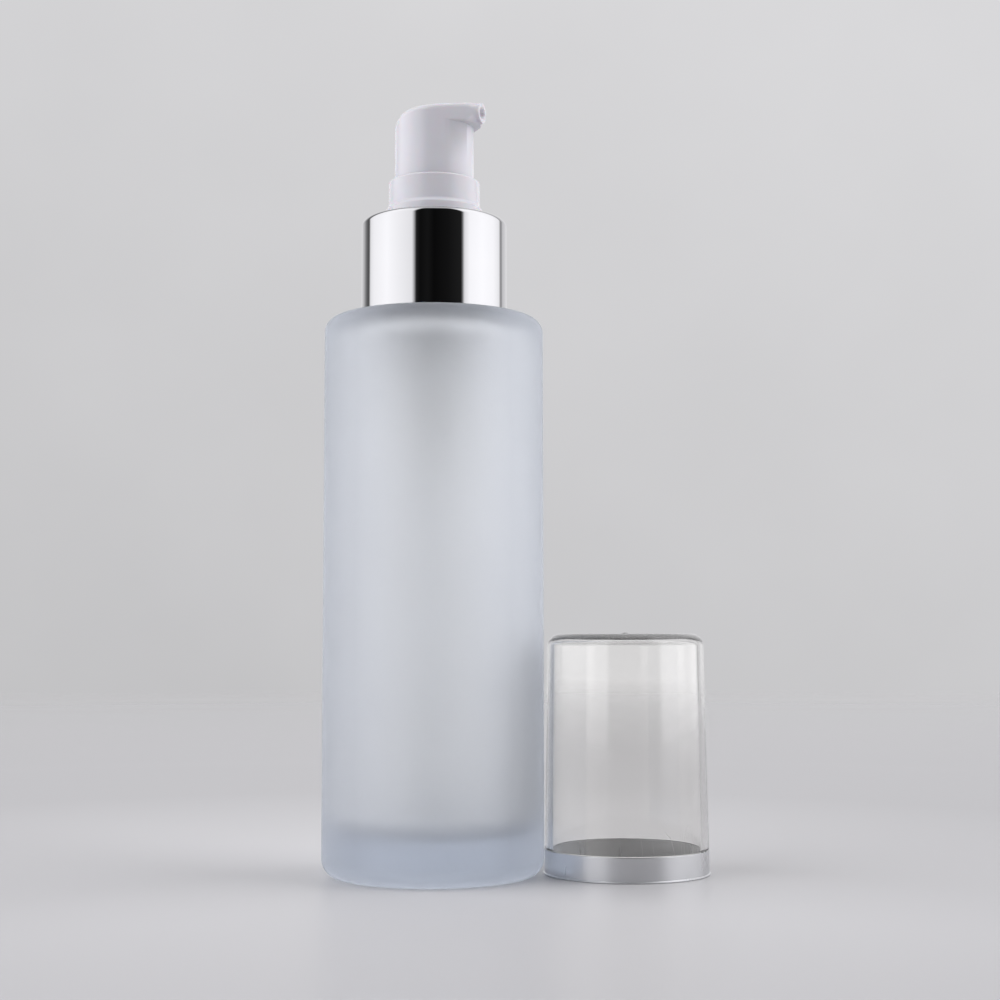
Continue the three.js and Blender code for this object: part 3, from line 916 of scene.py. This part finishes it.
def weld_seams(piece):
    weld = bmesh.new()
    weld.from_mesh(piece.data)
    bmesh.ops.remove_doubles(weld, verts=weld.verts, dist=2e-6)
    bmesh.ops.recalc_face_normals(weld, faces=weld.faces)
    weld.to_mesh(piece.data)
    weld.free()


def bore_outlet(head, shape):
    """Cuts the spout's outlet, with a small countersink, into its flat end."""
    centre = shape.floor(SPOUT_REACH) + shape.half(SPOUT_REACH)
    outline = rounded([
        (0.0, 0.0, 0.0),
        (0.85, 0.0, 0.0),
        (0.85, 3.05, 0.0),
        (1.25, 3.5, 0.0),
        (1.5, 5.0, 0.0),
        (0.0, 5.0, 0.0),
    ], closed=False)
    drill = turned("drill", outline, WHITE, 32, closed=False)
    drill.rotation_euler.y = math.pi / 2
    drill.location = ((SPOUT_REACH - 3.5) * MM, 0.0, centre * MM)
    cut = head.modifiers.new("outlet", "BOOLEAN")
    cut.operation = "DIFFERENCE"
    cut.object = drill
    cut.solver = "EXACT"
    bpy.context.view_layer.update()
    depsgraph = bpy.context.evaluated_depsgraph_get()
    baked = bpy.data.meshes.new_from_object(head.evaluated_get(depsgraph))
    head.modifiers.clear()
    head.data = baked
    head.data.shade_smooth()
    bpy.data.objects.remove(drill)


# ---- The overcap ----------------------------------------------------------------------------

def make_overcap_shell():
    """A cup with a pip on its top, where it was gated, and a rebate at its foot for the band."""
    top, foot = shell_high.z, shell_low.z
    pip = 0.25
    rebate = CAP_FOOT - 0.4
    ledge = band_high.z + 0.05
    outline = rounded([
        (0.0, top - CAP_PLATE, 0.0),
        (CAP_BORE, top - CAP_PLATE, CAP_ROUND - CAP_PLATE),
        (CAP_MOUTH, foot),
        (rebate, foot),
        (rebate, ledge, 0.08),
        (CAP_FOOT, ledge, 0.12),
        (CAP_FOOT - CAP_TAPER, top, CAP_ROUND),
        (0.9, top, 0.25),
        (0.35, top + pip),
        (0.0, top + pip, 0.0),
    ], closed=False, steps=10)
    outline = [(r, z, flip_inside(n, r, z, top)) for r, z, n in outline]
    shell = turned("cap_shell", outline, CLEAR, 192, closed=False, place=CAP_PLACE)
    place_piece(shell, "overcap", "overcap_shell")


def flip_inside(normal, radius, height, top):
    """The ceiling's middle faces down, unlike the start of a solid that stands on its base."""
    is_ceiling = radius < ON_AXIS and height < top
    return (0.0, -1.0) if is_ceiling else normal


def make_overcap_band():
    rebate = CAP_FOOT - 0.35
    outside = CAP_FOOT + 0.05
    foot = band_high.x - CAP_PLACE[0]
    inside = CAP_MOUTH + 0.1
    under = shell_low.z - 0.05
    outline = rounded([
        (inside, 0.0),
        (foot, 0.0, 0.15),
        (foot, 0.22, 0.05),
        (outside, 0.36, 0.05),
        (outside, band_high.z, 0.12),
        (rebate, band_high.z, 0.1),
        (rebate, under, 0.1),
        (inside, under),
    ])
    band = turned("cap_band", outline, SILVER, 160, place=CAP_PLACE)
    place_piece(band, "overcap", "overcap_band")


# ---- The studio -----------------------------------------------------------------------------

# What the light tent shows in each compass direction, as (azimuth in degrees, brightness as the
# collar mirrors it). Azimuth 0 is behind the camera and 90 is towards +X: two softboxes with a dark
# gap between them, and pale paper behind the object.
TENT = (
    (-180, 0.55), (-160, 0.50), (-148, 0.42), (-141, 0.29), (-135, 0.16), (-127, 0.07), (-122.5, 0.10),
    (-120, 0.60), (-117, 0.76), (-108, 0.86), (-78, 0.96), (-45, 0.82), (-33, 0.76), (-26.5, 0.014),
    (-20, 0.004), (-8, 0.007), (2, 0.003), (24, 0.006), (45, 0.012), (47.5, 0.12), (51, 0.72),
    (60, 0.93), (84, 0.99), (110, 0.93), (127, 0.78), (131, 0.38), (135, 0.18), (140, 0.44),
    (144, 0.50), (156, 0.53), (180, 0.55),
)
MIRROR_GAIN = 1.6
SOFTBOX_FLOOR = 0.64
SOFTBOX_GAIN = 3.0
TENT_TINT = (0.985, 0.98, 1.0)
CEILING = 0.66
CEILING_EDGE = (0.88, 0.98)

# The paper backdrop: its brightness level with the camera, how that climbs upwards and to the
# right, and how uneven it is.
BACKDROP = 0.583
BACKDROP_CLIMB = 0.30
BACKDROP_LEAN = 0.09
BACKDROP_CLOUDS = 0.012

# The table: its colour near the object, lighter there as painted light that thins the object's shadow,
# and further off, darker as painted shade where the tent lights the table fully, and the distances in
# metres between which the one turns into the other and the table fades out.
TABLE_NEAR_PAINTED_LIGHT = (0.58, 0.576, 0.588)
TABLE_FAR_PAINTED_SHADE = (0.45, 0.447, 0.457)
TABLE_SHADING = (0.02, 0.19)
TABLE_FADE = (0.32, 1.3)
TABLE_RADIUS = 2.0


def tent_light(nodes, x, y, z, glossy):
    """Brightness of the tent as the object sees it. Mirror images of the softboxes are held back
    to what a camera records, and the light that they give is stronger."""
    azimuth = nodes.math("ARCTAN2", x, nodes.math("MULTIPLY", y, -1.0))
    compass = nodes.node("ShaderNodeValToRGB")
    stops = compass.color_ramp.elements
    stops.remove(stops[1])
    for angle, bright in TENT:
        stop = stops[0] if angle == TENT[0][0] else stops.new(angle / 360 + 0.5)
        stop.position = angle / 360 + 0.5
        stop.color = (bright, bright, bright, 1.0)
    nodes.link(nodes.ramp(azimuth, 0.0, 1.0, -math.pi, math.pi), compass.inputs["Fac"])
    panel = nodes.math("MULTIPLY", compass.outputs["Color"], MIRROR_GAIN)
    spare = nodes.math("MAXIMUM", nodes.math("SUBTRACT", compass.outputs["Color"], SOFTBOX_FLOOR), 0.0)
    boost = nodes.math("MULTIPLY", spare, nodes.ramp(glossy, SOFTBOX_GAIN, 0.0, 0.0, 1.0))
    walls = nodes.math("ADD", panel, boost)
    overhead = nodes.ramp(z, 0.0, 1.0, *CEILING_EDGE)
    ceiling = nodes.math("MULTIPLY", overhead, CEILING)
    return nodes.math("MULTIPLY_ADD", walls, nodes.math("SUBTRACT", 1.0, overhead), ceiling)


def backdrop_light(nodes, direction, x, z):
    """Brightness of the paper backdrop: a little lighter upwards and to the right, and uneven."""
    clouds = nodes.node("ShaderNodeTexNoise", Scale=7.0, Detail=4.0, Roughness=0.55)
    nodes.link(direction, clouds.inputs["Vector"])
    level = nodes.math("MULTIPLY_ADD", z, BACKDROP_CLIMB, BACKDROP)
    level = nodes.math("MULTIPLY_ADD", x, BACKDROP_LEAN, level)
    uneven = nodes.ramp(clouds.outputs["Fac"], -BACKDROP_CLOUDS, BACKDROP_CLOUDS)
    return nodes.math("ADD", level, uneven)


def make_world():
    world = bpy.data.worlds.new("studio")
    bpy.context.scene.world = world
    world.use_nodes = True
    nodes = Nodes(world.node_tree)
    direction = nodes.node("ShaderNodeTexCoord").outputs["Generated"]
    x, y, z = nodes.axes(direction)
    rays = nodes.node("ShaderNodeLightPath")
    mix = nodes.node("ShaderNodeMix", data_type="FLOAT")
    nodes.link(rays.outputs["Is Camera Ray"], mix.inputs[0])
    nodes.link(tent_light(nodes, x, y, z, rays.outputs["Is Glossy Ray"]), mix.inputs[2])
    nodes.link(backdrop_light(nodes, direction, x, z), mix.inputs[3])
    shade = world.node_tree.nodes["Background"]
    shade.inputs["Color"].default_value = (*TENT_TINT, 1.0)
    nodes.link(mix.outputs[0], shade.inputs["Strength"])


def table_paint():
    """Matt paint, lighter near the object as painted light over its shadow and darker further off as
    painted shade, that fades into the backdrop well behind the object.
    """
    paint = Paint("floor_paint", Roughness=0.34, IOR=1.14)
    clear = paint.node("ShaderNodeBsdfTransparent")
    mix = paint.node("ShaderNodeMixShader")
    length = paint.node("ShaderNodeVectorMath", operation="LENGTH")
    paint.link(paint.coordinates(), length.inputs[0])
    distance = length.outputs["Value"]
    # Painted light near the object and painted shade further off, graded by distance from the axis.
    paint.tint(distance, TABLE_NEAR_PAINTED_LIGHT, TABLE_FAR_PAINTED_SHADE, *TABLE_SHADING)
    paint.link(paint.ramp(distance, 0.0, 1.0, *TABLE_FADE), mix.inputs[0])
    paint.link(paint.shader.outputs[0], mix.inputs[1])
    paint.link(clear.outputs[0], mix.inputs[2])
    paint.link(mix.outputs[0], paint.tree.nodes["Material Output"].inputs["Surface"])
    return paint.material


def make_floor():
    mesh = bpy.data.meshes.new("floor")
    disc = bmesh.new()
    bmesh.ops.create_circle(disc, cap_ends=True, segments=96, radius=TABLE_RADIUS)
    disc.to_mesh(mesh)
    disc.free()
    mesh.materials.append(table_paint())
    floor = bpy.data.objects.new("floor", mesh)
    floor.location.z = -0.02 * MM
    bpy.context.scene.collection.objects.link(floor)


def make_camera():
    data = bpy.data.cameras.new("camera")
    data.sensor_width = 36.0
    data.lens = 62.9
    camera = bpy.data.objects.new("camera", data)
    camera.location = (0.01267, -0.334, 0.04381)
    camera.rotation_euler = (math.radians(90 + 4.657), math.radians(0.069), 0.0)
    bpy.context.scene.collection.objects.link(camera)
    bpy.context.scene.camera = camera


make_bottle()
make_collar()
make_closure()
make_gasket()
make_housing()
make_guide()
make_stem()
make_plunger()
make_piston()
make_retainer()
make_ball()
make_spring()
make_dip_tube()
make_head()
make_overcap_shell()
make_overcap_band()
make_world()
make_floor()
make_camera()
bpy.context.scene.view_settings.view_transform = "Standard"
